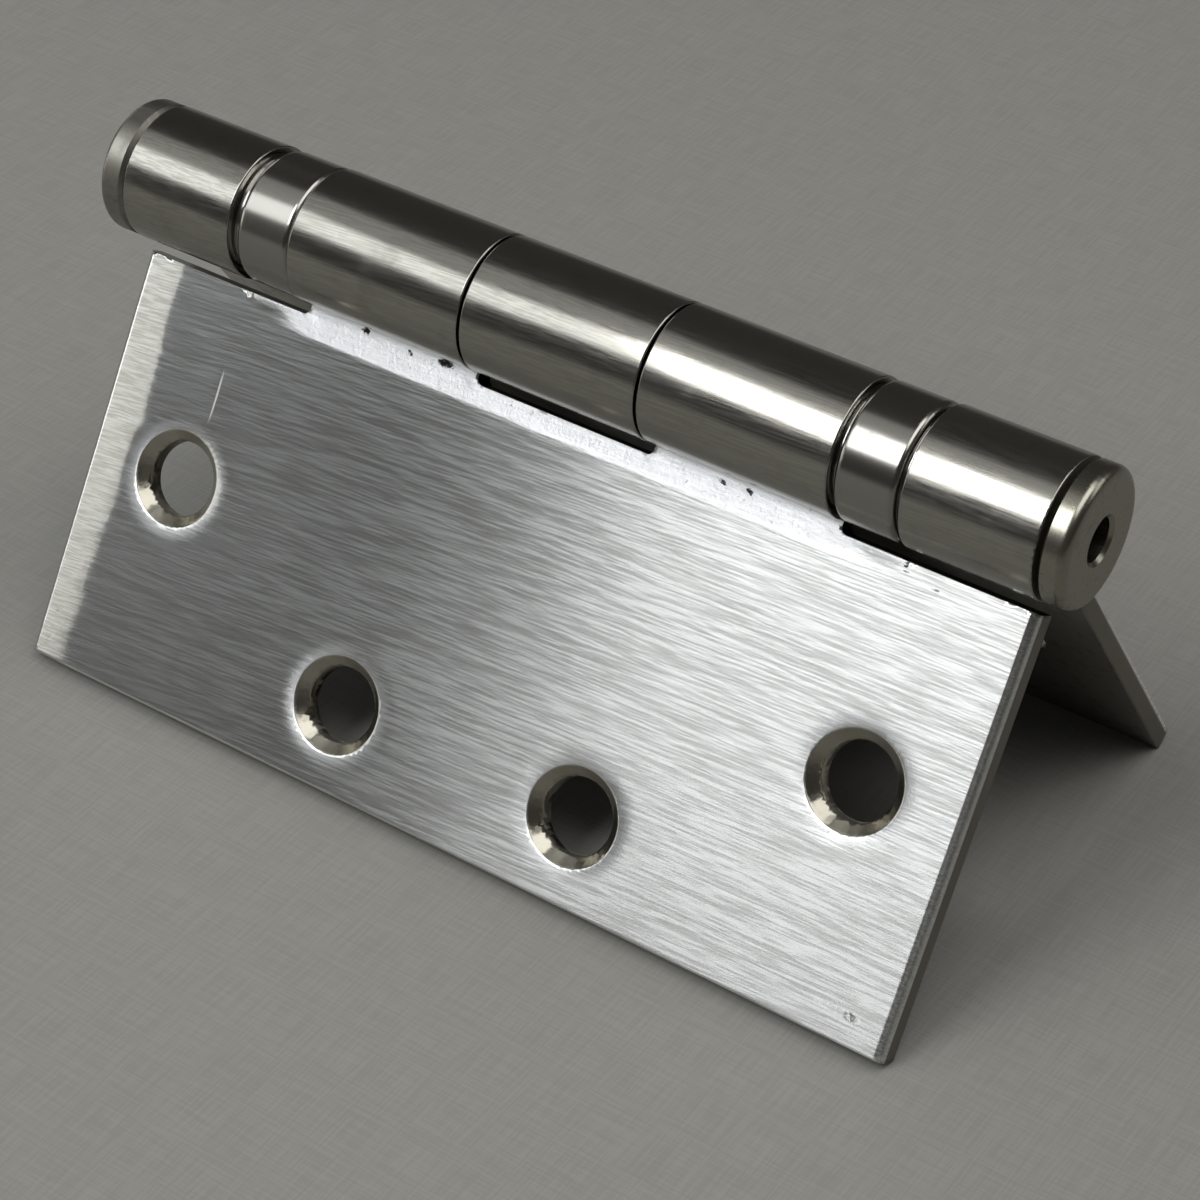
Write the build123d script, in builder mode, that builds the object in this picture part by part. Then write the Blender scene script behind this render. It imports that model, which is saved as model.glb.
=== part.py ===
from build123d import *

import math
import os

# Full mortise butt hinge with two thrust bearings, standing as a tent on the free edges of its leaves.
# The pin lies along X with its head at -X. The front leaf faces -Y and the back leaf faces +Y.
# The floor is Z = 0 and the middle of the leaves is X = 0. Sizes are in millimetres and degrees.

# Leaves
leaf_height = 114.3
leaf_width = 57.15
sheet = 3.0
face_offset = 0.3
tent_half_angle = 33.2
end_roll = 1.2
free_edge_roll = 0.4
inner_edge_break = 0.25

# Curled knuckles, in the order end, front, middle, front, end
barrel_diameter = 15.3
end_knuckle = 14.9
front_knuckle = 22.7
knuckle_gap = 0.35
bearing_room = 8.2
knuckle_end_break = 0.2
notch_flat = 0.94
notch_corner = 0.8
root_bend_radius = 2.0
swage_reach = 3.55
swage_depth = 0.3
seam_gap = 0.15

# Countersunk screw holes: an outer pair near the leaf's ends and an inner pair near its free edge
screw_hole_diameter = 8.5
countersink_diameter = 11.0
countersink_angle = 90
hole_rim_roll = 0.3
outer_hole_from_end = 12.7
outer_hole_from_edge = 25.4
inner_hole_from_middle = 15.75
inner_hole_from_edge = 9.55

# Pin with its button head, and the plug that matches the head at the bottom
cap_reach = 3.35
cap_step = 0.05
pin_clearance = 0.05
pin_end_gap = 0.3
pin_end_chamfer = 0.6
head_gap = 0.3
head_round = 0.6
head_inner_chamfer = 0.45
plug_gap = 0.5
plug_round = 1.1
plug_inner_chamfer = 0.3
spigot_length = 5.0
spigot_clearance = 0.02
spigot_chamfer = 0.4
drift_hole_diameter = 4.8
drift_hole_chamfer = 0.4

# Thrust bearings: a sleeve round two races with a cage of balls between them
sleeve_step = 0.1
sleeve_width = 7.1
sleeve_wall = 0.85
sleeve_round = 0.75
race_clearance = 0.1
race_chamfer = 0.25
groove_depth = 0.2
groove_clearance = 0.03
ball_diameter = 1.19
ball_count = 12
cage_thickness = 0.5
cage_clearance = 0.15
pocket_clearance = 0.05

# How closely an edge has to match the size that it is picked by
tolerance = 0.01

# Radii, depths and the pin's height above the floor, which follow from the sizes above
barrel_radius = barrel_diameter / 2
bore_radius = barrel_radius - sheet
pin_radius = bore_radius - pin_clearance
cap_radius = barrel_radius - cap_step
sleeve_radius = barrel_radius - sleeve_step
sleeve_bore = sleeve_radius - sleeve_wall
race_radius = sleeve_bore - race_clearance
race_spacing = ball_diameter + 2 * groove_clearance - 2 * groove_depth
race_length = (bearing_room - race_spacing) / 2
ball_circle = (bore_radius + race_radius) / 2
swage_line = barrel_radius + swage_reach
inner_depth = face_offset + sheet
half_height = leaf_height / 2
sin_tent = math.sin(math.radians(tent_half_angle))
cos_tent = math.cos(math.radians(tent_half_angle))
# each leaf stands on the rounded inner corner of its free edge
foot_reach = leaf_width - inner_edge_break
foot_depth = inner_depth - inner_edge_break
pin_height = foot_reach * cos_tent + foot_depth * sin_tent + inner_edge_break

# Stations along the pin, measured from the middle of the leaves
end_station = half_height - end_knuckle
front_station = end_station - bearing_room
middle_station = front_station - front_knuckle
bearing_station = (front_station + end_station) / 2
cap_face = half_height + cap_reach
spigot_end = half_height + plug_gap - spigot_length
back_knuckles = [
    (-half_height, -end_station),
    (knuckle_gap - middle_station, middle_station - knuckle_gap),
    (end_station, half_height),
]
front_knuckles = [
    (-front_station, -middle_station),
    (middle_station, front_station),
]

pin_axis = Axis((0, 0, pin_height), (1, 0, 0))
# half sections of turned pieces are drawn here, with x along the pin and y as the radius
turning_plane = Plane(origin=(0, 0, pin_height), x_dir=(1, 0, 0), z_dir=(0, -1, 0))

# Section of a knuckle, with x down the leaf from the pin and y from its countersunk face into the
# tent. The sheet bends inwards, curls right round the pin and ends against its own root, which the
# forming die has pressed down in a shallow slope.
bend_depth = inner_depth + root_bend_radius
bend_reach = math.sqrt((barrel_radius + root_bend_radius) ** 2 - bend_depth**2)
bend_angle = math.degrees(math.atan2(bend_depth, bend_reach))
notch_line = bend_reach + notch_flat
swage_slope = swage_depth / (swage_line - bend_reach)
lip_depth = face_offset + swage_slope * swage_reach - seam_gap
lip_angle = math.degrees(math.asin(lip_depth / barrel_radius))
curl_sweep = 360 + lip_angle - bend_angle


def swage_wedge(reach, mode):
    """The wedge between the countersunk face and the die's slope, as far in as reach."""
    slope_end = (reach, face_offset + swage_slope * (swage_line - reach))
    above_face = (reach, face_offset - sheet)
    Polygon((swage_line, face_offset), slope_end, above_face, align=None, mode=mode)


with BuildSketch() as knuckle_section:
    with BuildLine():
        outer_bend = CenterArc((bend_reach, bend_depth), root_bend_radius + sheet, -90, bend_angle - 90)
        inner_bend = CenterArc((bend_reach, bend_depth), root_bend_radius, -90, bend_angle - 90)
        Line(outer_bend @ 1, inner_bend @ 1)
        Polyline(
            outer_bend @ 0,
            (swage_line + sheet, face_offset),
            (swage_line + sheet, inner_depth),
            inner_bend @ 0,
        )
    make_face()
    swage_wedge(bore_radius, Mode.SUBTRACT)
    with BuildLine():
        outer_curl = CenterArc((0, 0), barrel_radius, bend_angle, curl_sweep)
        inner_curl = CenterArc((0, 0), bore_radius, bend_angle, curl_sweep)
        Line(outer_curl @ 0, inner_curl @ 0)
        Line(outer_curl @ 1, inner_curl @ 1)
    make_face()


def quarter_round(centre, radius):
    """What is left of a square corner outside a quarter round, for cutting an edge back.
    The square reaches well clear of the sheet towards positive x and y."""
    with Locations(centre):
        Rectangle(radius + sheet, radius + sheet, align=(Align.MIN, Align.MIN))
        Circle(radius, mode=Mode.SUBTRACT)


def bent_leaf(side, knuckles, die_half_length):
    """One leaf with its knuckles: side is -1 for the front leaf and 1 for the back one."""
    down = Vector(0, side * sin_tent, -cos_tent)
    outward = Vector(0, side * cos_tent, sin_tent)
    pin_centre = Vector(0, 0, pin_height)
    free_edge = pin_centre + down * leaf_width - outward * face_offset
    section_plane = Plane(origin=pin_centre, x_dir=down, z_dir=(-side, 0, 0))
    # x runs along the pin in the next two planes: y runs down the leaf in the first and out of
    # the countersunk face in the second
    face_plane = Plane(origin=pin_centre - outward * face_offset, x_dir=(side, 0, 0), z_dir=outward)
    end_plane = Plane(origin=free_edge, x_dir=(-side, 0, 0), z_dir=down)
    # across the free edge: x runs down the leaf and y out of the countersunk face
    free_edge_plane = Plane(origin=free_edge, x_dir=down, z_dir=(side, 0, 0))
    down_leaf = Axis(pin_centre, down)
    through_sheet = Axis(pin_centre, outward)
    hole_places = [
        (end * from_middle, leaf_width - from_edge)
        for end in (-1, 1)
        for from_middle, from_edge in (
            (half_height - outer_hole_from_end, outer_hole_from_edge),
            (inner_hole_from_middle, inner_hole_from_edge),
        )
    ]

    with BuildPart() as leaf:
        # flat sheet from the notches to the free edge, with the die's slope along the knuckles
        with BuildSketch(face_plane):
            with Locations((0, notch_line)):
                Rectangle(leaf_height, leaf_width - notch_line, align=(Align.CENTER, Align.MIN))
        extrude(amount=-sheet)
        foot_edges = leaf.edges().filter_by(Axis.X).group_by(down_leaf)[-1]
        fillet(foot_edges.sort_by(through_sheet)[0], inner_edge_break)
        with BuildSketch(section_plane):
            swage_wedge(bend_reach, Mode.ADD)
        extrude(amount=die_half_length, both=True, mode=Mode.SUBTRACT)

        # knuckles, with rounded corners where the notches between them meet the sheet
        for start, end in knuckles:
            with BuildSketch(section_plane.offset(-side * (start + end) / 2)):
                add(knuckle_section.sketch)
            extrude(amount=(end - start) / 2, both=True)
        notch_corners = (
            leaf.edges()
            .filter_by(through_sheet)
            .filter_by_position(down_leaf, notch_line - tolerance, notch_line + tolerance)
            .filter_by_position(Axis.X, tolerance - half_height, half_height - tolerance)
        )
        fillet(notch_corners, notch_corner)
        rims = leaf.edges().filter_by(GeomType.CIRCLE)
        fillet(rims.filter_by(lambda rim: abs(rim.radius - barrel_radius) < tolerance), knuckle_end_break)

        # edges that the blanking die rolled over, at both ends and along the free edge
        with BuildSketch(end_plane):
            quarter_round((half_height - end_roll, -end_roll), end_roll)
            mirror(about=Plane.YZ)
        extrude(amount=barrel_radius - leaf_width, mode=Mode.SUBTRACT)
        with BuildSketch(free_edge_plane):
            quarter_round((-free_edge_roll, -free_edge_roll), free_edge_roll)
        extrude(amount=half_height, both=True, mode=Mode.SUBTRACT)

        # screw holes
        with Locations(face_plane):
            with Locations(*hole_places):
                CounterSinkHole(
                    screw_hole_diameter / 2,
                    countersink_diameter / 2,
                    counter_sink_angle=countersink_angle,
                )
        rims = leaf.edges().filter_by(GeomType.CIRCLE)
        countersinks = rims.filter_by(lambda rim: abs(rim.radius - countersink_diameter / 2) < tolerance)
        fillet(countersinks, hole_rim_roll)
    return leaf


def rings_of(piece, radius):
    """The circular edges of a turned piece that have this radius, in order along the pin."""
    circles = piece.edges().filter_by(GeomType.CIRCLE)
    return circles.filter_by(lambda ring: abs(ring.radius - radius) < tolerance).sort_by(Axis.X)


leaf_front = bent_leaf(-1, front_knuckles, end_station)
leaf_front.part.label = "leaf_front"

leaf_back = bent_leaf(1, back_knuckles, half_height)
leaf_back.part.label = "leaf_back"

# Pin and its button head
with BuildPart() as hinge_pin:
    with BuildSketch(turning_plane):
        with BuildLine():
            Polyline(
                (-cap_face, 0),
                (-cap_face, cap_radius),
                (-half_height - head_gap, cap_radius),
                (-half_height - head_gap, pin_radius),
                (spigot_end - pin_end_gap, pin_radius),
                (spigot_end - pin_end_gap, 0),
                close=True,
            )
        make_face()
    revolve(axis=pin_axis)
    fillet(rings_of(hinge_pin, cap_radius)[0], head_round)
    chamfer(rings_of(hinge_pin, cap_radius)[-1], head_inner_chamfer)
    chamfer(rings_of(hinge_pin, pin_radius)[-1], pin_end_chamfer)
hinge_pin.part.label = "hinge_pin"

# Plug in the bottom knuckle, with a hole for a drift to drive the pin out
with BuildPart() as bottom_tip:
    with BuildSketch(turning_plane):
        with BuildLine():
            Polyline(
                (spigot_end, drift_hole_diameter / 2),
                (spigot_end, bore_radius - spigot_clearance),
                (half_height + plug_gap, bore_radius - spigot_clearance),
                (half_height + plug_gap, cap_radius),
                (cap_face, cap_radius),
                (cap_face, drift_hole_diameter / 2),
                close=True,
            )
        make_face()
    revolve(axis=pin_axis)
    fillet(rings_of(bottom_tip, cap_radius)[-1], plug_round)
    chamfer(rings_of(bottom_tip, cap_radius)[0], plug_inner_chamfer)
    chamfer(rings_of(bottom_tip, bore_radius - spigot_clearance)[0], spigot_chamfer)
    chamfer(rings_of(bottom_tip, drift_hole_diameter / 2)[-1], drift_hole_chamfer)
bottom_tip.part.label = "bottom_tip"


def bearing_sleeve(start):
    """The bearing's outer ring, from start along the pin."""
    with BuildPart() as sleeve:
        with BuildSketch(turning_plane):
            with Locations((start, sleeve_bore)):
                Rectangle(sleeve_width, sleeve_wall, align=(Align.MIN, Align.MIN))
        revolve(axis=pin_axis)
        fillet(rings_of(sleeve, sleeve_radius), sleeve_round)
    return sleeve


def bearing_race(centre, side):
    """A race seated on the knuckle to the given side of the bearing's centre, with its ball groove."""
    with BuildPart() as race:
        with BuildSketch(turning_plane):
            with Locations((centre + side * bearing_room / 2, bore_radius)):
                Rectangle(
                    race_length,
                    race_radius - bore_radius,
                    align=(Align.MAX if side > 0 else Align.MIN, Align.MIN),
                )
            with Locations((centre, ball_circle)):
                Circle(ball_diameter / 2 + groove_clearance, mode=Mode.SUBTRACT)
        revolve(axis=pin_axis)
        seat = rings_of(race, race_radius)[-1 if side > 0 else 0]
        chamfer(seat, race_chamfer)
    return race


def ball_cage(centre):
    """The flat ring that keeps the balls apart."""
    with BuildPart() as cage:
        with BuildSketch(Plane(origin=(centre, 0, pin_height), x_dir=(0, 1, 0), z_dir=(1, 0, 0))):
            Circle(sleeve_bore - cage_clearance)
            Circle(pin_radius + cage_clearance, mode=Mode.SUBTRACT)
            with PolarLocations(ball_circle, ball_count):
                Circle(ball_diameter / 2 + pocket_clearance, mode=Mode.SUBTRACT)
        extrude(amount=cage_thickness / 2, both=True)
    return cage


def bearing_balls(centre):
    """The balls in one bearing, which stay one node as a group of identical pieces."""
    with BuildPart(Plane(origin=(centre, 0, pin_height), x_dir=(0, 1, 0), z_dir=(1, 0, 0))) as balls:
        with PolarLocations(ball_circle, ball_count):
            Sphere(ball_diameter / 2)
    return balls


# Bearing 1, by the head, sits tight on the front leaf, and bearing 2 floats in its room
bearing_1_ring = bearing_sleeve(-front_station - sleeve_width)
bearing_1_ring.part.label = "bearing_1_ring"
bearing_1_upper_race = bearing_race(-bearing_station, -1)
bearing_1_upper_race.part.label = "bearing_1_upper_race"
bearing_1_cage = ball_cage(-bearing_station)
bearing_1_cage.part.label = "bearing_1_cage"
bearing_1_balls = bearing_balls(-bearing_station)
bearing_1_balls.part.label = "bearing_1_balls"
bearing_1_lower_race = bearing_race(-bearing_station, 1)
bearing_1_lower_race.part.label = "bearing_1_lower_race"

bearing_2_ring = bearing_sleeve(bearing_station - sleeve_width / 2)
bearing_2_ring.part.label = "bearing_2_ring"
bearing_2_upper_race = bearing_race(bearing_station, -1)
bearing_2_upper_race.part.label = "bearing_2_upper_race"
bearing_2_cage = ball_cage(bearing_station)
bearing_2_cage.part.label = "bearing_2_cage"
bearing_2_balls = bearing_balls(bearing_station)
bearing_2_balls.part.label = "bearing_2_balls"
bearing_2_lower_race = bearing_race(bearing_station, 1)
bearing_2_lower_race.part.label = "bearing_2_lower_race"

os.makedirs("parts", exist_ok=True)
export_step(leaf_front.part, "parts/leaf_front.step")
export_step(leaf_back.part, "parts/leaf_back.step")
export_step(hinge_pin.part, "parts/hinge_pin.step")
export_step(bottom_tip.part, "parts/bottom_tip.step")
export_step(bearing_1_ring.part, "parts/bearing_1_ring.step")
export_step(bearing_1_upper_race.part, "parts/bearing_1_upper_race.step")
export_step(bearing_1_cage.part, "parts/bearing_1_cage.step")
export_step(bearing_1_balls.part, "parts/bearing_1_balls.step")
export_step(bearing_1_lower_race.part, "parts/bearing_1_lower_race.step")
export_step(bearing_2_ring.part, "parts/bearing_2_ring.step")
export_step(bearing_2_upper_race.part, "parts/bearing_2_upper_race.step")
export_step(bearing_2_cage.part, "parts/bearing_2_cage.step")
export_step(bearing_2_balls.part, "parts/bearing_2_balls.step")
export_step(bearing_2_lower_race.part, "parts/bearing_2_lower_race.step")
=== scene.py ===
import bmesh
import bpy
import math
from mathutils import Matrix, Vector, noise


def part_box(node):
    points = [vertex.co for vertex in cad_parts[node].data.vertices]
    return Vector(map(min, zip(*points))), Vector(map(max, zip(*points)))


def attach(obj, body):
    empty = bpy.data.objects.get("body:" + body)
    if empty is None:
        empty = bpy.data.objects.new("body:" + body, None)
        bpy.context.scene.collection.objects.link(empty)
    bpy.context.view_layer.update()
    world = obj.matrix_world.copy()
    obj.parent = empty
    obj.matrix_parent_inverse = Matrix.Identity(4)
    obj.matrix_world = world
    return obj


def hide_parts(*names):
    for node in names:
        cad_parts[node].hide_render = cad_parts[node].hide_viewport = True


# A full mortise hinge in brushed stainless steel, standing as a tent on a pale floor.
# The CAD nodes give the shapes. This script gives them their steel, with the wear of the real one,
# and sets up the floor, the light and the view.

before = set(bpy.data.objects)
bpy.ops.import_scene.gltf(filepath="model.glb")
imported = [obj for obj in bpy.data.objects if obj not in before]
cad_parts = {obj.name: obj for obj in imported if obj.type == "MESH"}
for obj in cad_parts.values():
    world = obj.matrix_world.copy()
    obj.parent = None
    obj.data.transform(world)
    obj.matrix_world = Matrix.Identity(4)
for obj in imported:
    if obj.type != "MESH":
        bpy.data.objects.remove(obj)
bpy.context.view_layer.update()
scene = bpy.context.scene

MM = 0.001

# Measures of the hinge in millimetres, as in the part's source. Places on a leaf are given as u along
# the pin from the middle, v down the leaf from the pin and w out of the leaf.
LEAF_WIDTH = 57.15
HALF_HEIGHT = 57.15
SHEET = 3.0
FACE_OFFSET = 0.3
TENT_HALF_ANGLE = math.radians(33.2)
BARREL_RADIUS = 7.65
OUTER_HOLE = (44.45, 31.75)
INNER_HOLE = (15.75, 47.6)
COUNTERSINK_RADIUS = 5.5
SWAGE_LINE = 11.2
NOTCH_LINE = 9.0
FRONT_STATION = 34.05
MIDDLE_STATION = 11.35
INNER_FACE = -FACE_OFFSET - SHEET

tip_low, tip_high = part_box("bottom_tip")
PIN_HEIGHT = (tip_low[2] + tip_high[2]) / 2 / MM

FRONT, BACK = -1, 1


def down_leaf(side):
    """From the pin down a leaf."""
    return Vector((0, side * math.sin(TENT_HALF_ANGLE), -math.cos(TENT_HALF_ANGLE)))


def out_of_leaf(side):
    """Out of a leaf's countersunk face."""
    return Vector((0, side * math.cos(TENT_HALF_ANGLE), math.sin(TENT_HALF_ANGLE)))


# View

CAMERA_PLACE = Vector((168.44, -236.56, 252.07)) * MM
CAMERA_RIGHT = Vector((0.82013, 0.57214, -0.00689))
CAMERA_FORWARD = Vector((-0.44620, 0.63196, -0.63366))
FOCAL_PIXELS = 3388.3
FRAME_PIXELS = 1200
SENSOR_WIDTH = 36.0
NEAREST_SEEN = 0.01


def add_camera():
    """The photograph's viewpoint: a long lens from above the front right corner."""
    data = bpy.data.cameras.new("camera")
    data.sensor_width = SENSOR_WIDTH
    data.lens = SENSOR_WIDTH * FOCAL_PIXELS / FRAME_PIXELS
    data.clip_start = NEAREST_SEEN
    camera = bpy.data.objects.new("camera", data)
    scene.collection.objects.link(camera)
    back = -CAMERA_FORWARD.normalized()
    up = back.cross(CAMERA_RIGHT).normalized()
    right = up.cross(back)
    turn = Matrix((right, up, back)).transposed()
    camera.matrix_world = Matrix.Translation(CAMERA_PLACE) @ turn.to_4x4()
    scene.camera = camera


add_camera()

# Light

HINGE_MIDDLE = Vector((0, 0, 30)) * MM
LAMP_DISTANCE = 1.2

# Each lamp's name, slopes, leans, glow and colour. The slopes are degrees above the floor seen along
# the pin, from the front over the top to the back, and the leans are the sines of the angles along
# the pin. A glow of 1 is white.
NEUTRAL = (1.0, 1.0, 1.0)
LAMPS = [
    ("window_left", (32, 65), (-0.80, -0.455), 2.5, (0.95, 0.98, 1.0)),
    ("window_right", (35, 66), (-0.455, -0.05), 7.8, (0.97, 0.985, 1.0)),
    ("window_shade", (69, 94), (-0.80, -0.05), 0.5, NEUTRAL),
    ("left_card", (-2, 30), (-0.86, -0.655), 0.85, (1.0, 0.98, 0.90)),
    ("left_edge_card", (-12, 30), (-0.985, -0.86), 2.2, NEUTRAL),
    ("ceiling_box", (62, 122), (0.02, 0.60), 2.8, NEUTRAL),
    ("back_window_right", (124, 152), (0.48, 0.86), 1.6, NEUTRAL),
    ("back_window_left", (124, 152), (-0.95, -0.68), 1.6, NEUTRAL),
]
ROOM_COLOUR = (1.0, 0.98, 0.92, 1.0)
ROOM_GLOW = 0.058


def soft_window(name, slopes, leans, glow, colour):
    """A rectangular lamp that fills a patch of the sky, as seen from the hinge."""
    slope = math.radians(sum(slopes) / 2)
    lean_angles = [math.asin(lean) for lean in leans]
    lean = sum(lean_angles) / 2
    away = Vector((math.sin(lean), -math.cos(lean) * math.cos(slope), math.cos(lean) * math.sin(slope)))
    across = Vector((math.cos(lean), math.sin(lean) * math.cos(slope), -math.sin(lean) * math.sin(slope)))
    data = bpy.data.lights.new(name, "AREA")
    data.shape = "RECTANGLE"
    data.size = LAMP_DISTANCE * (lean_angles[1] - lean_angles[0])
    data.size_y = LAMP_DISTANCE * math.radians(slopes[1] - slopes[0]) * math.cos(lean)
    data.energy = glow * math.pi * data.size * data.size_y
    data.color = colour
    lamp = bpy.data.objects.new(name, data)
    scene.collection.objects.link(lamp)
    turn = Matrix((across, away.cross(across), away)).transposed()
    lamp.matrix_world = Matrix.Translation(HINGE_MIDDLE + away * LAMP_DISTANCE) @ turn.to_4x4()


def light_room():
    """A dim warm room round the lamps."""
    room = bpy.data.worlds.new("studio")
    scene.world = room
    room.use_nodes = True
    background = room.node_tree.nodes["Background"]
    background.inputs["Color"].default_value = ROOM_COLOUR
    background.inputs["Strength"].default_value = ROOM_GLOW


for lamp_settings in LAMPS:
    soft_window(*lamp_settings)
light_room()


# Leaves with the dents of their making: the CAD leaf, cut into a fine grid on its countersunk side and
# pressed down where the countersinks, the shears and the forming die dragged the sheet with them

GRID = 0.5
GRID_START = 0.5
GRID_MARGIN = 0.6
SAME_POINT = 1e-7
HOLE_PLACES = [(end * u, v) for end in (-1, 1) for u, v in (OUTER_HOLE, INNER_HOLE)]
# the dish round each countersink, and the lengths along u and v over which its edge wanders
DISH_WIDTH = 2.1
DISH_DEPTH = 0.095
DISH_RAGGED = 0.22
DISH_WANDER = (1.9, 0.7)
DISH_STEEPEST = 1.15
# the droop along the end that was sheared from above. Its start wanders by the first amount over the
# second, in a long sweep and a short tremble.
DROOP_START = 6.3
DROOP_SLOPE = 0.058
DROOP_BEND = 0.9
DROOP_SWEEP = (1.1, 13)
DROOP_TREMBLE = (0.5, 0.8)
# the sheet's slow waves: the lengths along u and v of a long one, a cross one and a short one
WAVE_DEPTH = 0.006
LONG_WAVE = (9.1, 23)
CROSS_WAVE = 6.3
CROSS_WAVE_SHIFT = 0.7
SHORT_WAVE = (4.7, 7.9)
SHORT_WAVE_SHARE = 0.6
# the band that the die crushed along the knuckles: the lengths of its coarse and its fine lumps
SEAM = 7.85
DIE_END = 42.25
CRUSH_DEPTH = 0.028
COARSE_LUMP = (0.9, 0.5)
FINE_LUMP = (0.35, 0.3)
FINE_LUMP_SHARE = 0.6
# the lips along the notches, which fade out between the last two stations
LIP_HEIGHT = 0.09
LIP_WIDTH = 0.4
LIP_RAGGED = 0.5
LIP_LUMP = 0.6
LIP_FADE = (40.4, 41.8)
# the die's slope runs out to the face from FILL_START to FILL_END along the pin
FILL_START = FRONT_STATION
FILL_END = 39.5
DEEPEST_SLOPE = 0.36
SHALLOWEST_SLOPE = 0.004
SHARP_EDGE = math.radians(38)


def leaf_place(point, side):
    """Along the pin, down the leaf and out of it, in millimetres, from a point in metres."""
    from_pin = point / MM - Vector((0, 0, PIN_HEIGHT))
    return from_pin.x, from_pin.dot(down_leaf(side)), from_pin.dot(out_of_leaf(side))


def smooth(value, low, high):
    """Rises smoothly from 0 at low to 1 at high."""
    share = min(max((value - low) / (high - low), 0.0), 1.0)
    return share * share * (3 - 2 * share)


def lumps(u, v, lengths, seed):
    """Smooth noise between -1 and 1, whose lumps are lengths millimetres along u and v."""
    return noise.noise(Vector((u / lengths[0], v / lengths[1], seed)))


def wander(along, length, place, seed):
    """Smooth noise between -1 and 1 along one line."""
    return noise.noise(Vector((along / length, place, seed)))


def wave_depth(u, v):
    """The sheet was never quite flat."""
    slow = math.sin(u / LONG_WAVE[0] + v / LONG_WAVE[1]) * math.sin(v / CROSS_WAVE + CROSS_WAVE_SHIFT)
    return WAVE_DEPTH * (slow + SHORT_WAVE_SHARE * math.sin(u / SHORT_WAVE[0] - v / SHORT_WAVE[1]))


def dish_depth(u, v):
    """How far the countersinks dragged the sheet in."""
    depth = 0
    for hole_u, hole_v in HOLE_PLACES:
        width = DISH_WIDTH * (1 + DISH_RAGGED * lumps(u, v, DISH_WANDER, hole_u))
        reach = 1 - (math.hypot(u - hole_u, v - hole_v) - COUNTERSINK_RADIUS) / width
        if reach > 0:
            depth += DISH_DEPTH * min(reach, DISH_STEEPEST) ** 2
    return depth


def droop_depth(u, v):
    """How far the shears dragged the left end down. The droop starts on a wandering line."""
    line = HALF_HEIGHT - DROOP_START
    line += DROOP_SWEEP[0] * wander(v, DROOP_SWEEP[1], 0.4, 1.3)
    line += DROOP_TREMBLE[0] * wander(v, DROOP_TREMBLE[1], 7.1, 0.2)
    past = max(-u - line, 0)
    return DROOP_SLOPE * past * past / (past + DROOP_BEND)


def crush_depth(u, v):
    """The die's rough band along the front and middle knuckles."""
    if v >= SWAGE_LINE or abs(u) >= FRONT_STATION:
        return 0
    crush = lumps(u, v, COARSE_LUMP, 5.0) + FINE_LUMP_SHARE * lumps(u, v, FINE_LUMP, 9.0)
    return CRUSH_DEPTH * crush * smooth(SWAGE_LINE - v, 0.0, 1.0)


def lip_height(u, v):
    """The burr that stands along the notches' edges."""
    out = abs(u)
    near_middle = smooth(out, MIDDLE_STATION - 1.2, MIDDLE_STATION)
    near_middle *= 1 - smooth(out, MIDDLE_STATION + 0.4, MIDDLE_STATION + 1.6)
    near_bearing = smooth(out, FRONT_STATION - 1.4, FRONT_STATION - 0.2) * (1 - smooth(out, *LIP_FADE))
    across = math.exp(-((v - NOTCH_LINE - 0.1) / LIP_WIDTH) ** 2)
    ragged = 1 + LIP_RAGGED * wander(u, LIP_LUMP, 2.2, 8.0)
    return LIP_HEIGHT * (near_middle + near_bearing) * across * ragged


def pressed_depth(u, v):
    """How far the sheet is pressed in at this place, in millimetres."""
    return wave_depth(u, v) + dish_depth(u, v) + droop_depth(u, v) + crush_depth(u, v) - lip_height(u, v)


def filled_height(u, v, w):
    """How far the die's slope is raised to the face beside the bearings, where the die runs out."""
    sunk = -FACE_OFFSET - w
    in_band = NOTCH_LINE - 0.1 < v <= SWAGE_LINE + 0.1 and abs(u) <= DIE_END + 0.01
    if not in_band or not SHALLOWEST_SLOPE < sunk < DEEPEST_SLOPE:
        return 0
    return sunk * smooth(abs(u), FILL_START, FILL_END)


def cut_grid(shape, side):
    """Cuts the countersunk side into a fine grid, so that the dents have points to move."""
    outward_limit = -FACE_OFFSET - 1.3
    down = down_leaf(side)
    pin = Vector((0, 0, PIN_HEIGHT)) * MM
    for row in range(round((LEAF_WIDTH - GRID_MARGIN - SEAM - GRID_START) / GRID) + 1):
        at = pin + down * (SEAM + GRID_START + row * GRID) * MM
        everything = shape.faces[:] + shape.edges[:]
        bmesh.ops.bisect_plane(shape, geom=everything, dist=SAME_POINT, plane_co=at, plane_no=down)
    faces = []
    for face in shape.faces:
        _, v, w = leaf_place(face.calc_center_median(), side)
        if v > SEAM and w > outward_limit:
            faces.append(face)
    gridded = faces + list({edge for face in faces for edge in face.edges})
    along = Vector((1, 0, 0))
    first_column = 0.4 - HALF_HEIGHT
    for column in range(round(-2 * first_column / GRID) + 1):
        at = along * (first_column + column * GRID) * MM
        cut = bmesh.ops.bisect_plane(shape, geom=gridded, dist=SAME_POINT, plane_co=at, plane_no=along)
        gridded = [part for part in cut["geom"] if not isinstance(part, bmesh.types.BMVert)]


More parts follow.
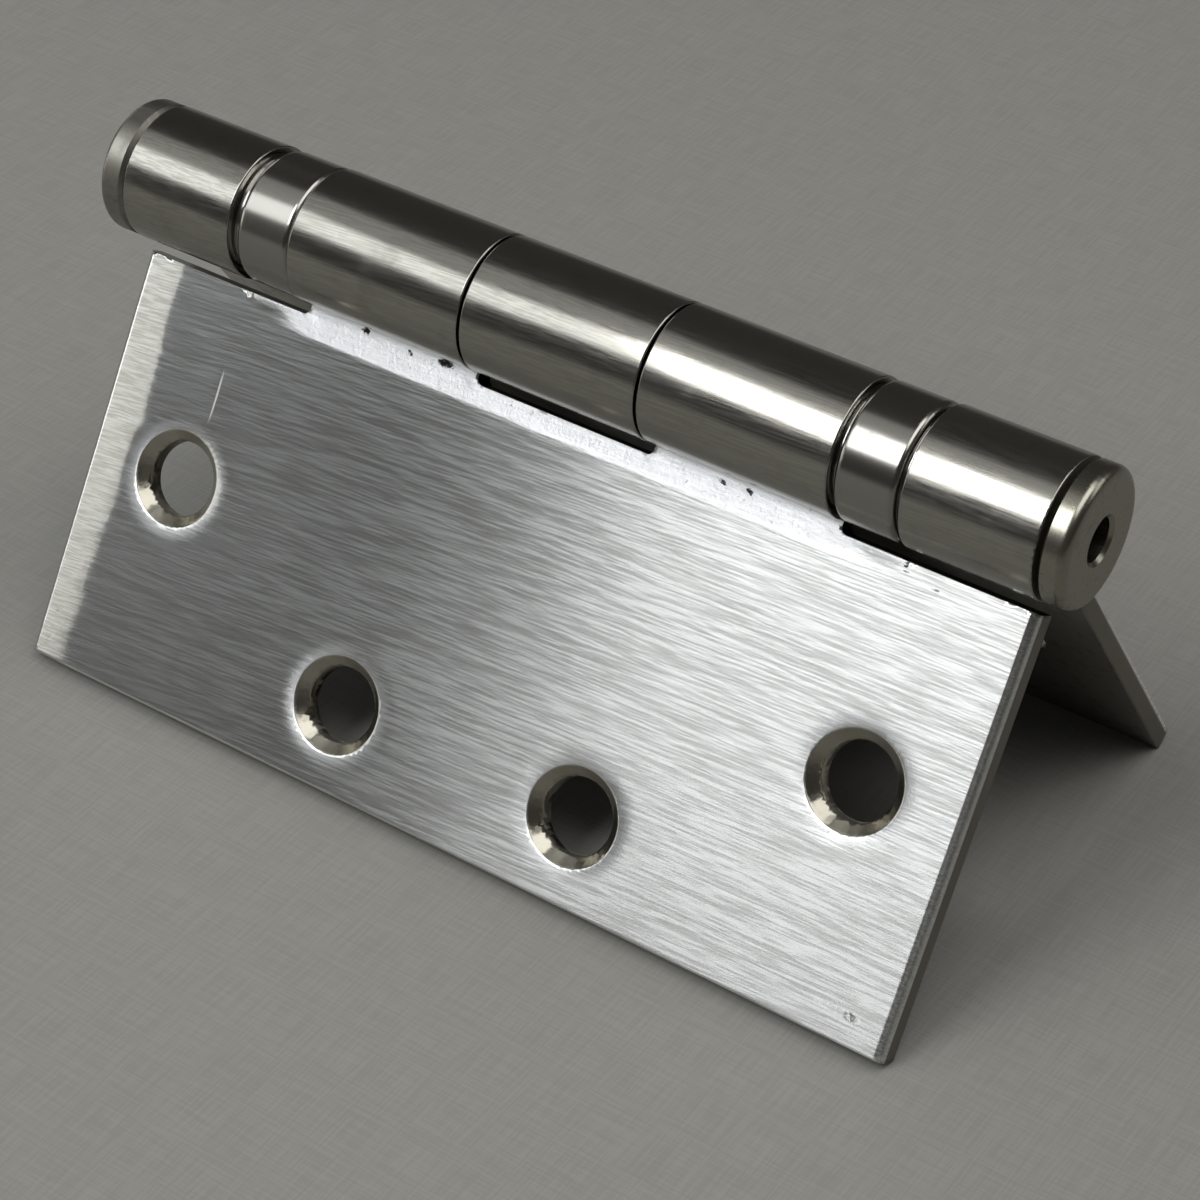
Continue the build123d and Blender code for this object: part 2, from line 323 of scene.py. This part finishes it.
def press(shape, side):
    """Moves the countersunk side's points by the dents, and lets the inner side be."""
    outward = out_of_leaf(side)
    for vertex in shape.verts:
        u, v, w = leaf_place(vertex.co, side)
        if v > SEAM:
            share = smooth(w, INNER_FACE, -FACE_OFFSET - 0.5)
            vertex.co -= outward * (pressed_depth(u, v) * share - filled_height(u, v, w)) * MM
    # the filled slope leaves walls of no height at the die's ends
    die_ends = []
    for vertex in shape.verts:
        u, v, w = leaf_place(vertex.co, side)
        if abs(abs(u) - DIE_END) < 0.4 and v < SWAGE_LINE + 0.3 and w > -0.9:
            die_ends.append(vertex)
    bmesh.ops.remove_doubles(shape, verts=die_ends, dist=0.05 * MM)


def pressed_leaf(node_name, piece_name, side, body):
    """A leaf with its dents, in place of its CAD node."""
    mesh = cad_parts[node_name].data.copy()
    shape = bmesh.new()
    shape.from_mesh(mesh)
    bmesh.ops.remove_doubles(shape, verts=shape.verts, dist=SAME_POINT)
    cut_grid(shape, side)
    press(shape, side)
    bmesh.ops.triangulate(shape, faces=[face for face in shape.faces if len(face.verts) > 4])
    shape.to_mesh(mesh)
    shape.free()
    mesh.shade_smooth()
    mesh.set_sharp_from_angle(angle=SHARP_EDGE)
    piece = bpy.data.objects.new(piece_name, mesh)
    scene.collection.objects.link(piece)
    # large faces keep their own normals beside small roundings
    weighted = piece.modifiers.new("weighted_normals", "WEIGHTED_NORMAL")
    weighted.keep_sharp = True
    shaded = piece.evaluated_get(bpy.context.evaluated_depsgraph_get())
    piece.data = bpy.data.meshes.new_from_object(shaded)
    piece.modifiers.clear()
    bpy.data.meshes.remove(mesh)
    piece.data.name = piece_name
    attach(piece, body)
    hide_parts(node_name)
    return piece


front_leaf = pressed_leaf("leaf_front", "front_leaf", FRONT, "front_side")
back_leaf = pressed_leaf("leaf_back", "back_leaf", BACK, "back_side")


# Node tools

class Bench:
    """Adds shader nodes to one tree and hands back their output sockets."""

    def __init__(self, tree):
        self.tree = tree

    def node(self, kind, **settings):
        made = self.tree.nodes.new(kind)
        for name, value in settings.items():
            setattr(made, name, value)
        return made

    def feed(self, socket, source):
        if isinstance(source, bpy.types.NodeSocket):
            self.tree.links.new(source, socket)
        else:
            socket.default_value = source

    def math(self, operation, first, second=0.0):
        made = self.node("ShaderNodeMath", operation=operation)
        self.feed(made.inputs[0], first)
        self.feed(made.inputs[1], second)
        return made.outputs[0]

    def chain(self, operation, values):
        total = values[0]
        for value in values[1:]:
            total = self.math(operation, total, value)
        return total

    def sum(self, *values):
        return self.chain("ADD", values)

    def product(self, *values):
        return self.chain("MULTIPLY", values)

    def most(self, *values):
        return self.chain("MAXIMUM", values)

    def minus(self, first, second):
        return self.math("SUBTRACT", first, second)

    def share(self, first, second):
        return self.math("DIVIDE", first, second)

    def vector(self, operation, first, second=(0.0, 0.0, 0.0)):
        made = self.node("ShaderNodeVectorMath", operation=operation)
        self.feed(made.inputs[0], first)
        self.feed(made.inputs[1], second)
        return made.outputs["Value" if operation in ("DOT_PRODUCT", "LENGTH") else "Vector"]

    def combine(self, x, y, z):
        made = self.node("ShaderNodeCombineXYZ")
        for socket, source in zip(made.inputs, (x, y, z)):
            self.feed(socket, source)
        return made.outputs[0]

    def distance(self, x, y, z=0.0):
        return self.vector("LENGTH", self.combine(x, y, z))

    def split(self, vector):
        made = self.node("ShaderNodeSeparateXYZ")
        self.feed(made.inputs[0], vector)
        return made.outputs[0], made.outputs[1], made.outputs[2]

    def step(self, value, low, high, start=0.0, end=1.0):
        """Rises smoothly from start to end as value goes from low to high."""
        made = self.node("ShaderNodeMapRange", interpolation_type="SMOOTHSTEP")
        settings = {"Value": value, "From Min": low, "From Max": high, "To Min": start, "To Max": end}
        for name, source in settings.items():
            self.feed(made.inputs[name], source)
        return made.outputs["Result"]

    def below(self, value, low, high):
        """1 below low and 0 above high."""
        return self.step(value, low, high, 1.0, 0.0)

    def noise(self, place, detail=2.0, rough=0.5):
        made = self.node("ShaderNodeTexNoise")
        self.feed(made.inputs["Vector"], place)
        self.feed(made.inputs["Scale"], 1.0)
        self.feed(made.inputs["Detail"], detail)
        self.feed(made.inputs["Roughness"], rough)
        return made.outputs["Fac"]

    def mix(self, factor, first, second):
        """From the first colour to the second."""
        made = self.node("ShaderNodeMix", data_type="RGBA")
        self.feed(made.inputs[0], factor)
        self.feed(made.inputs[6], first)
        self.feed(made.inputs[7], second)
        return made.outputs[2]

    def blend(self, factor, first, second):
        """From the first number to the second."""
        made = self.node("ShaderNodeMix", data_type="FLOAT")
        self.feed(made.inputs[0], factor)
        self.feed(made.inputs[2], first)
        self.feed(made.inputs[3], second)
        return made.outputs[0]

    def blob(self, u, v, place, size, softness=0.3):
        """1 inside an ellipse of half sizes size about place, 0 outside."""
        across = self.share(self.minus(u, place[0]), size[0])
        along = self.share(self.minus(v, place[1]), size[1])
        return self.below(self.distance(across, along), 1.0 - softness, 1.0 + softness)

    def place_mm(self):
        """The object's own coordinates in millimetres."""
        coordinates = self.node("ShaderNodeTexCoord")
        return self.vector("MULTIPLY", coordinates.outputs["Object"], (1 / MM,) * 3)


FLOAT, VECTOR = "NodeSocketFloat", "NodeSocketVector"
LINE_ROUGHNESS = 0.6


def new_group(name, inputs, outputs):
    """A shader node group with named sockets: its bench, its input sockets and its output sockets."""
    tree = bpy.data.node_groups.new(name, "ShaderNodeTree")
    for label, kind, value in inputs:
        socket = tree.interface.new_socket(name=label, in_out="INPUT", socket_type=kind)
        if value is not None:
            socket.default_value = value
    for label in outputs:
        tree.interface.new_socket(name=label, in_out="OUTPUT", socket_type=FLOAT)
    bench = Bench(tree)
    return bench, bench.node("NodeGroupInput").outputs, bench.node("NodeGroupOutput").inputs


def use_group(bench, name, **values):
    made = bench.node("ShaderNodeGroup", node_tree=bpy.data.node_groups[name])
    for label, source in values.items():
        bench.feed(made.inputs[label], source)
    return made.outputs


def make_brushed_grain():
    """Lines left by the brushing belt: they run along x, and each is Length by Width millimetres."""
    bench, given, result = new_group(
        "brushed_grain",
        [("Place", VECTOR, None), ("Length", FLOAT, 6.0), ("Width", FLOAT, 0.12), ("Seed", FLOAT, 0.0)],
        ["Height", "Streak", "Speck"],
    )
    x, y, z = bench.split(given["Place"])

    def lines(length_share, width_share, seed, detail):
        length = bench.product(given["Length"], length_share)
        width = bench.product(given["Width"], width_share)
        along = bench.sum(bench.share(x, length), bench.sum(given["Seed"], seed))
        place = bench.combine(along, bench.share(y, width), bench.share(z, width))
        return bench.noise(place, detail, LINE_ROUGHNESS)

    fine, coarse = lines(0.6, 1.4, 3.0, 0.0), lines(1.2, 2.3, 17.0, 1.0)
    bench.feed(result["Height"], bench.sum(bench.product(fine, 0.45), bench.product(coarse, 0.55)))
    bench.feed(result["Streak"], bench.step(lines(1.8, 1.45, 31.0, 2.0), 0.38, 0.62))
    bench.feed(result["Speck"], bench.step(lines(0.25, 1.2, 47.0, 0.0), 0.68, 0.80))


def make_turned_lines():
    """Fine rings round the pin's axis from the lathe, Pitch millimetres apart on average."""
    bench, given, result = new_group(
        "turned_lines", [("Place", VECTOR, None), ("Pitch", FLOAT, 0.15)], ["Height"]
    )
    x, y, z = bench.split(given["Place"])
    reach = bench.distance(0.0, y, bench.minus(z, PIN_HEIGHT))
    place = bench.combine(bench.share(x, given["Pitch"]), bench.share(reach, given["Pitch"]), 0.5)
    bench.feed(result["Height"], bench.noise(place, 2.0, LINE_ROUGHNESS))


def make_smudges():
    """Soft dark stains and small bruises, Size millimetres across, on a share of the surface."""
    bench, given, result = new_group(
        "smudges",
        [("Place", VECTOR, None), ("Size", FLOAT, 4.0), ("Share", FLOAT, 0.3), ("Seed", FLOAT, 0.0)],
        ["Stain"],
    )
    shifted = bench.vector("ADD", given["Place"], bench.combine(given["Seed"], given["Seed"], given["Seed"]))
    scaled = bench.vector("DIVIDE", shifted, bench.combine(given["Size"], given["Size"], given["Size"]))
    cloud = bench.noise(scaled, 3.0, 0.62)
    edge = bench.minus(0.72, bench.product(given["Share"], 0.35))
    bench.feed(result["Stain"], bench.step(cloud, edge, bench.sum(edge, 0.14)))


make_brushed_grain()
make_turned_lines()
make_smudges()


def new_material(name, metallic=1.0):
    """A material, its bench and its shader."""
    material = bpy.data.materials.new(name)
    material.use_nodes = True
    shader = material.node_tree.nodes["Principled BSDF"]
    shader.inputs["Metallic"].default_value = metallic
    return material, Bench(material.node_tree), shader


def relief(bench, shader, height_mm):
    """Raises the surface by a height in millimetres."""
    made = bench.node("ShaderNodeBump")
    made.inputs["Distance"].default_value = MM
    bench.feed(made.inputs["Height"], height_mm)
    bench.feed(shader.inputs["Normal"], made.outputs["Normal"])


# Colours

FACE_STEEL = (0.68, 0.685, 0.675, 1.0)
FACE_STREAK = (0.525, 0.525, 0.51, 1.0)
KNUCKLE_STEEL = (0.33, 0.322, 0.29, 1.0)
KNUCKLE_STAIN = (0.19, 0.178, 0.15, 1.0)
PRESSED_STEEL = (0.66, 0.66, 0.69, 1.0)
CONE_STEEL = (0.40, 0.38, 0.32, 1.0)
# partly the cut ends' own dull steel, partly painted shade: the ends and the free edge are darkened for the
# shade they lie in
SHEARED_STEEL_AND_SHADE = (0.20, 0.185, 0.155, 1.0)
# partly the inner side's mill finish, partly painted shade for the shade inside the tent
MILL_STEEL_AND_TENT_SHADE = (0.33, 0.32, 0.29, 1.0)
HEAD_STEEL = (0.24, 0.232, 0.205, 1.0)
TIP_STEEL = (0.27, 0.258, 0.215, 1.0)
RING_STEEL = (0.30, 0.29, 0.265, 1.0)
GROUND_STEEL = (0.58, 0.58, 0.57, 1.0)
BRASS = (0.62, 0.44, 0.19, 1.0)
TARNISHED_BRASS = (0.40, 0.27, 0.12, 1.0)
# near-black, painted on the leaves' listed scuffs and pits
NEAR_BLACK = (0.025, 0.023, 0.02, 1.0)
# painted shade: near-black for the notches' cut edges, which lie in shade under the knuckles
NOTCH_PAINTED_SHADE = (0.004, 0.004, 0.003, 1.0)
BOARD_DARK = (0.200, 0.196, 0.178, 1.0)
BOARD_PALE = (0.228, 0.223, 0.204, 1.0)

# Finish of the leaves, in millimetres
BRUSH_LENGTH = 3.4
BRUSH_WIDTH = 0.15
FACE_GRAIN = 0.0075
KNUCKLE_GRAIN = 0.004
PRESSED_GRAIN = 0.06
SHEARED_GRAIN = 0.02
CONE_GRAIN = 0.006
# roughness at the head's end of the face and at the tip's, where the belt pressed harder
FACE_ROUGHNESS = (0.172, 0.265)
# and what is added at the knuckles and at the free edge
FACE_ROUGHNESS_SHIFT = (-0.018, 0.014)
STREAK_GLOSS = 0.025
KNUCKLE_ROUGHNESS = 0.12
KNUCKLE_STREAK_DULL = 0.05
KNUCKLE_STAIN_DULL = 0.04
PRESSED_ROUGHNESS = 0.44
HALO_ROUGHNESS = 0.23
CONE_ROUGHNESS = 0.27
MILL_ROUGHNESS = 0.42
SHEARED_ROUGHNESS = 0.45
NEAR_BLACK_ROUGHNESS = 0.6
BRUSHED_SPREAD = 0.92
QUARTER_TURN = 0.25
# how strongly each mark shows in the colour of what it lies on, from 0 to 1
FACE_STAINS = 0.18
FACE_SPECKS = 0.5
KNUCKLE_STREAKS = 0.35
KNUCKLE_DIRT = 0.16
KNUCKLE_STAINS = 0.3
# painted highlight: the lighter line along the curl's rolled end
LIP_PAINTED_HIGHLIGHT = 0.6
# painted highlight: the lightening round the countersinks stands in for their bright halos
HALO_PAINTED_HIGHLIGHT = 0.12
MILL_DIRT = 0.6
CUT_DIRT = 0.5
# the crumbled noise above which the pressed band is pitted, and between which scuffs break up
PITTED = (0.64, 0.72)
SCUFFED = (0.40, 0.52)
# how far the crumbling pulls a pit out of shape along u and v
PIT_JAGGED = (2.2, 1.3)
# sizes of the leaves' stains and dirt, and the crumbled places' lumps per millimetre
STAIN_SIZE = 6.0
DIRT_SIZE = 1.7
CRUMBLE_SCALE = (2.6, 2.6, 2.6)
# the brushing's slant off the pin in the middle, and how it turns towards the head
BRUSH_SLANT = 0.05
BRUSH_TURN = 0.0003

# Finish of the turned pieces
HANDLING_SIZE = 3.2
FLECK_SIZE = 0.8
HANDLING_SHOWS = 0.45
FLECKS_SHOW = 0.3
DARKENED = 0.55
DULLED = 0.2
TURNED_GRAIN = 0.004
FLECK_DENT = -0.003


class LeafMasks:
    """Where on a leaf a point of its surface is, as masks from 0 to 1. What is added to a measure is the
    width in millimetres over which its border fades."""

    def __init__(self, bench, place, side):
        self.bench = bench
        from_pin = bench.vector("SUBTRACT", place, (0.0, 0.0, PIN_HEIGHT))
        self.u = bench.split(place)[0]
        self.v = bench.vector("DOT_PRODUCT", from_pin, tuple(down_leaf(side)))
        self.w = bench.vector("DOT_PRODUCT", from_pin, tuple(out_of_leaf(side)))
        self.end = bench.math("ABSOLUTE", self.u)
        from_axis = bench.distance(0.0, self.v, self.w)
        self.on_barrel = bench.below(from_axis, BARREL_RADIUS + 0.07, BARREL_RADIUS + 0.15)
        self.off_barrel = bench.minus(1.0, self.on_barrel)
        self.inside = bench.product(bench.below(self.w, INNER_FACE + 0.1, INNER_FACE + 0.3), self.off_barrel)
        self.sheared = bench.most(
            bench.step(self.end, HALF_HEIGHT - 0.08, HALF_HEIGHT - 0.02),
            bench.step(self.v, LEAF_WIDTH - 0.10, LEAF_WIDTH - 0.02),
        )
        # the notches' cut edges, which get near-black painted shade
        self.in_notch = bench.product(
            bench.below(self.w, -FACE_OFFSET - 0.45, -FACE_OFFSET - 0.35),
            bench.below(self.v, NOTCH_LINE + 0.02, NOTCH_LINE + 0.06),
            self.off_barrel,
        )
        hole = bench.math("MINIMUM", self.from_hole(OUTER_HOLE), self.from_hole(INNER_HOLE))
        self.cone = bench.product(
            bench.below(hole, COUNTERSINK_RADIUS - 0.02, COUNTERSINK_RADIUS + 0.04),
            bench.below(self.w, -FACE_OFFSET - 0.06, -FACE_OFFSET - 0.03),
        )
        torn = bench.combine(bench.share(self.u, 1.8), bench.share(self.v, 0.25), side)
        ragged = bench.product(bench.noise(torn), 1.6)
        # the ragged ring round each countersink, which gets a painted highlight and its own roughness
        self.halo = bench.product(
            bench.below(bench.sum(hole, ragged), COUNTERSINK_RADIUS + 1.1, COUNTERSINK_RADIUS + 2.7),
            bench.step(self.w, -FACE_OFFSET - 0.4, -FACE_OFFSET - 0.3),
        )
        # the pressed band narrows to a thin line along the bearings' notches
        band_foot = bench.step(
            self.end, FRONT_STATION - 1.0, FRONT_STATION + 4.5, SWAGE_LINE - 0.1, NOTCH_LINE + 0.45
        )
        above_foot = bench.minus(bench.sum(self.v, bench.product(ragged, 0.3)), band_foot)
        self.pressed = bench.product(
            bench.below(above_foot, -0.5, 0.9),
            self.off_barrel,
            bench.step(self.w, -FACE_OFFSET - 0.8, -FACE_OFFSET - 0.6),
            bench.below(self.end, 40.6, 41.6),
        )
        # the curled sheet's end, where it meets its own root; a lighter line is painted there as the highlight
        # of its rolled edge
        self.lip = bench.product(
            self.on_barrel,
            bench.step(self.v, BARREL_RADIUS - 0.2, BARREL_RADIUS - 0.1),
            bench.below(self.w, 0.25, 0.45),
        )
        self.near_face = bench.step(self.w, -FACE_OFFSET - 0.9, -FACE_OFFSET - 0.7)

    def from_hole(self, hole):
        return self.bench.distance(self.bench.minus(self.end, hole[0]), self.bench.minus(self.v, hole[1]))


def leaf_colour(bench, on, grain, dirt, stain, crumble, fresh_belt):
    """A bright brushed face, duller knuckles, ends and countersinks, and a whitish pressed band, with painted
    shade on the inner side, the ends and the notches' cut edges, and painted highlights along the curl's end
    and round the countersinks.
    """
    face = bench.mix(bench.product(grain["Streak"], fresh_belt), FACE_STEEL, FACE_STREAK)
    face = bench.mix(bench.product(stain, FACE_STAINS), face, KNUCKLE_STEEL)
    face = bench.mix(bench.product(grain["Speck"], FACE_SPECKS), face, PRESSED_STEEL)
    knuckle = bench.mix(bench.product(grain["Streak"], KNUCKLE_STREAKS), KNUCKLE_STEEL, KNUCKLE_STAIN)
    soiled = bench.most(bench.product(dirt, KNUCKLE_DIRT), bench.product(stain, KNUCKLE_STAINS))
    knuckle = bench.mix(soiled, knuckle, KNUCKLE_STAIN)
    # painted highlight: a lighter line along the curl's rolled end
    knuckle = bench.mix(bench.product(on.lip, LIP_PAINTED_HIGHLIGHT), knuckle, FACE_STREAK)
    colour = bench.mix(on.on_barrel, face, knuckle)
    whitened = bench.product(on.pressed, bench.step(crumble, 0.2, 0.6, 1.0, 0.35))
    colour = bench.mix(whitened, colour, PRESSED_STEEL)
    pitted = bench.product(on.pressed, bench.step(crumble, *PITTED))
    colour = bench.mix(pitted, colour, KNUCKLE_STAIN)
    # painted highlight: a lighter ring round each countersink
    colour = bench.mix(bench.product(on.halo, HALO_PAINTED_HIGHLIGHT), colour, PRESSED_STEEL)
    colour = bench.mix(on.cone, colour, CONE_STEEL)
    # partly mill finish with dirt, partly painted shade: the inner side is darkened for the shade inside the
    # tent
    mill_and_shade = bench.mix(bench.product(dirt, MILL_DIRT), MILL_STEEL_AND_TENT_SHADE, KNUCKLE_STAIN)
    colour = bench.mix(on.inside, colour, mill_and_shade)
    # partly dull cut steel with dirt, partly painted shade: the ends and the free edge are darkened for their
    # shade
    cut_end_and_shade = bench.mix(bench.product(dirt, CUT_DIRT), SHEARED_STEEL_AND_SHADE, KNUCKLE_STAIN)
    colour = bench.mix(on.sheared, colour, cut_end_and_shade)
    # painted shade: the notches' cut edges are painted near-black
    return bench.mix(on.in_notch, colour, NOTCH_PAINTED_SHADE)


def leaf_marks(bench, on, crumble, scuffs, pits):
    """Where the leaf turns near-black: worn scuffs and jagged pits."""
    marked = 0.0
    for place_uv, size, darkness in scuffs:
        patch = bench.blob(on.u, on.v, place_uv, size, 0.6)
        marked = bench.most(marked, bench.product(patch, bench.step(crumble, *SCUFFED), darkness))
    uneven = bench.minus(crumble, 0.5)
    jagged_u = bench.sum(on.u, bench.product(uneven, PIT_JAGGED[0]))
    jagged_v = bench.sum(on.v, bench.product(uneven, PIT_JAGGED[1]))
    for place_uv, size in pits:
        marked = bench.most(marked, bench.blob(jagged_u, jagged_v, place_uv, size, 0.25))
    return marked


def leaf_roughness(bench, on, grain, stain, marked, fresh_belt):
    """Brushing that shines less towards the tip and the free edge, and the dull places' own levels."""
    shinier = bench.product(grain["Streak"], fresh_belt, STREAK_GLOSS)
    face = bench.minus(bench.step(on.u, -25.0, 25.0, *FACE_ROUGHNESS), shinier)
    face = bench.sum(face, bench.step(on.v, 9.0, 46.0, *FACE_ROUGHNESS_SHIFT))
    knuckle = bench.sum(
        bench.product(grain["Streak"], KNUCKLE_STREAK_DULL),
        bench.product(stain, KNUCKLE_STAIN_DULL),
        KNUCKLE_ROUGHNESS,
    )
    rough = bench.blend(on.on_barrel, face, knuckle)
    levels = (
        (on.pressed, PRESSED_ROUGHNESS),
        (on.halo, HALO_ROUGHNESS),
        (on.cone, CONE_ROUGHNESS),
        (on.inside, MILL_ROUGHNESS),
        (on.sheared, SHEARED_ROUGHNESS),
        (marked, NEAR_BLACK_ROUGHNESS),
    )
    for mask, level in levels:
        rough = bench.blend(mask, rough, level)
    return rough


def leaf_relief(bench, on, grain, crumble, scratches):
    """Brushed lines, the crumbled places and the scratches, in millimetres."""
    height = bench.product(grain["Height"], bench.blend(on.on_barrel, FACE_GRAIN, KNUCKLE_GRAIN))
    rubble = bench.sum(
        bench.product(on.pressed, PRESSED_GRAIN),
        bench.product(bench.most(on.sheared, on.inside), SHEARED_GRAIN),
        bench.product(on.cone, CONE_GRAIN),
    )
    height = bench.sum(height, bench.product(rubble, crumble))
    for place_uv, size, depth in scratches:
        height = bench.minus(height, bench.product(bench.blob(on.u, on.v, place_uv, size, 0.8), depth))
    return height


def leaf_steel(name, side, scratches, scuffs, pits):
    """Belt-brushed stainless sheet with the wear of one leaf."""
    material, bench, shader = new_material(name)
    place = bench.place_mm()
    on = LeafMasks(bench, place, side)

    # brushing runs along the pin, a few degrees off it towards the head
    sweep = bench.product(on.u, bench.minus(BRUSH_SLANT, bench.product(on.u, BRUSH_TURN)))
    brushed = bench.combine(on.u, bench.sum(on.v, sweep), on.w)
    grain = use_group(
        bench, "brushed_grain", Place=brushed, Length=BRUSH_LENGTH, Width=BRUSH_WIDTH, Seed=side * 5.0 + 10.0
    )
    stain_seed, dirt_seed = side * 20.0 + 40.0, side * 7.0 + 90.0
    stain = use_group(bench, "smudges", Place=place, Size=STAIN_SIZE, Share=0.35, Seed=stain_seed)["Stain"]
    dirt = use_group(bench, "smudges", Place=place, Size=DIRT_SIZE, Share=0.55, Seed=dirt_seed)["Stain"]
    crumble = bench.noise(bench.vector("MULTIPLY", place, CRUMBLE_SCALE), 3.0, 0.75)
    # the lines are strongest at the tip's end and in the band that droops at the head's
    fresh_belt = bench.most(bench.step(on.u, -60.0, 20.0, 0.45, 1.0), bench.below(on.u, -53.0, -50.0))

    marked = leaf_marks(bench, on, crumble, scuffs, pits)
    colour = leaf_colour(bench, on, grain, dirt, stain, crumble, fresh_belt)
    # the scuffs and pits are painted near-black on the countersunk side
    colour = bench.mix(bench.product(marked, on.near_face), colour, NEAR_BLACK)
    bench.feed(shader.inputs["Base Color"], colour)
    bench.feed(shader.inputs["Roughness"], leaf_roughness(bench, on, grain, stain, marked, fresh_belt))
    # the lines run along the pin, so the light spreads across it: a quarter turn from the pin
    shader.inputs["Anisotropic"].default_value = BRUSHED_SPREAD
    shader.inputs["Anisotropic Rotation"].default_value = QUARTER_TURN
    along_pin = bench.node(
        "ShaderNodeVectorTransform", vector_type="VECTOR", convert_from="OBJECT", convert_to="WORLD"
    )
    along_pin.inputs[0].default_value = (1.0, 0.0, 0.0)
    bench.feed(shader.inputs["Tangent"], along_pin.outputs[0])
    relief(bench, shader, leaf_relief(bench, on, grain, crumble, scratches))
    return material


def turned_steel(name, colour, roughness, mottling, seed, pitch=0.2):
    """Steel turned on a lathe, with handling stains."""
    material, bench, shader = new_material(name)
    place = bench.place_mm()
    lines = use_group(bench, "turned_lines", Place=place, Pitch=pitch)["Height"]
    stain = use_group(bench, "smudges", Place=place, Size=HANDLING_SIZE, Share=mottling, Seed=seed)["Stain"]
    fleck = use_group(bench, "smudges", Place=place, Size=FLECK_SIZE, Share=mottling, Seed=seed + 5.0)["Stain"]
    mottle = bench.sum(bench.product(stain, HANDLING_SHOWS), bench.product(fleck, FLECKS_SHOW))
    dark = tuple(channel * DARKENED for channel in colour[:3]) + (1.0,)
    bench.feed(shader.inputs["Base Color"], bench.mix(mottle, colour, dark))
    bench.feed(shader.inputs["Roughness"], bench.blend(mottle, roughness, roughness + DULLED))
    relief(bench, shader, bench.sum(bench.product(lines, TURNED_GRAIN), bench.product(fleck, FLECK_DENT)))
    return material


def stamped_brass(name):
    """Stamped brass with a little tarnish."""
    material, bench, shader = new_material(name)
    stain = use_group(bench, "smudges", Place=bench.place_mm(), Size=1.5, Share=0.4, Seed=9.0)["Stain"]
    bench.feed(shader.inputs["Base Color"], bench.mix(stain, BRASS, TARNISHED_BRASS))
    bench.feed(shader.inputs["Roughness"], bench.blend(stain, 0.3, 0.5))
    return material


# Marks of wear on the leaves: each has its place (u, v) and half sizes in millimetres, then a
# scratch's depth in millimetres or a scuff's darkness

FRONT_SCRATCHES = [
    ((-42.6, 21.3), (0.24, 3.1), 0.02),
    ((11.6, 33.0), (0.8, 0.10), 0.006),
    ((-20.0, 44.0), (1.1, 0.08), 0.006),
]
FRONT_SCUFFS = [
    ((52.3, 54.0), (0.85, 0.5), 0.9),
    ((50.4, 53.9), (1.7, 0.45), 0.45),
    ((46.0, 10.6), (0.5, 0.14), 0.8),
    ((42.3, 10.0), (0.35, 0.12), 0.8),
]
FRONT_PITS = [
    ((-26.4, 8.2), (0.5, 0.35)),
    ((-15.65, 8.2), (1.0, 0.4)),
    ((19.96, 8.7), (0.35, 0.25)),
    ((23.3, 8.6), (0.4, 0.22)),
    ((-20.2, 8.6), (0.25, 0.2)),
]
BACK_SCRATCHES = [((31.0, 26.0), (2.4, 0.12), 0.010), ((-8.0, 39.0), (0.12, 1.9), 0.008)]
BACK_SCUFFS = [((-38.0, 50.5), (0.9, 0.5), 0.6), ((22.0, 16.0), (0.6, 0.2), 0.6)]
BACK_PITS = [((-30.0, 8.4), (0.4, 0.3)), ((4.5, 8.3), (0.7, 0.3))]


def finish_hinge():
    """Gives every piece and every CAD node its own metal."""
    ring_steel = turned_steel("bearing_ring_steel", RING_STEEL, 0.20, 0.25, 23.0, 0.12)
    ground_steel = turned_steel("ground_bearing_steel", GROUND_STEEL, 0.15, 0.1, 33.0, 0.08)
    cage_brass = stamped_brass("cage_brass")
    finishes = {
        "leaf_front": leaf_steel("front_leaf_steel", FRONT, FRONT_SCRATCHES, FRONT_SCUFFS, FRONT_PITS),
        "leaf_back": leaf_steel("back_leaf_steel", BACK, BACK_SCRATCHES, BACK_SCUFFS, BACK_PITS),
        "hinge_pin": turned_steel("pin_head_steel", HEAD_STEEL, 0.36, 0.6, 3.0),
        "bottom_tip": turned_steel("bottom_tip_steel", TIP_STEEL, 0.27, 0.4, 13.0),
    }
    for bearing in ("bearing_1", "bearing_2"):
        finishes[bearing + "_ring"] = ring_steel
        finishes[bearing + "_cage"] = cage_brass
        for part in ("_upper_race", "_lower_race", "_balls"):
            finishes[bearing + part] = ground_steel
    for node_name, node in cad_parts.items():
        for slot in node.material_slots:
            slot.material = finishes[node_name]
    for piece, node_name in ((front_leaf, "leaf_front"), (back_leaf, "leaf_back")):
        piece.data.materials.clear()
        piece.data.materials.append(finishes[node_name])


finish_hinge()


# Floor

FLOOR_SIZE = 3.0
THREAD_WIDTH = 0.28
THREAD_LENGTH = 7.0
THREAD_RELIEF = 0.03
BOARD_ROUGHNESS = 0.7


def make_floor():
    """A plain pale board with a fine linen grain."""
    bpy.ops.mesh.primitive_plane_add(size=FLOOR_SIZE)
    floor = bpy.context.object
    floor.name = "floor"
    material, bench, shader = new_material("pale_linen_board", 0.0)
    x, y, _ = bench.split(bench.place_mm())
    warp = bench.noise(bench.combine(bench.share(x, THREAD_WIDTH), bench.share(y, THREAD_LENGTH), 0.0), 1.0)
    weft = bench.noise(bench.combine(bench.share(x, THREAD_LENGTH), bench.share(y, THREAD_WIDTH), 7.0), 1.0)
    linen = bench.sum(warp, weft)
    bench.feed(shader.inputs["Base Color"], bench.mix(bench.step(linen, 0.7, 1.3), BOARD_DARK, BOARD_PALE))
    shader.inputs["Roughness"].default_value = BOARD_ROUGHNESS
    relief(bench, shader, bench.product(linen, THREAD_RELIEF))
    floor.data.materials.append(material)


make_floor()

scene.view_settings.view_transform = "Standard"
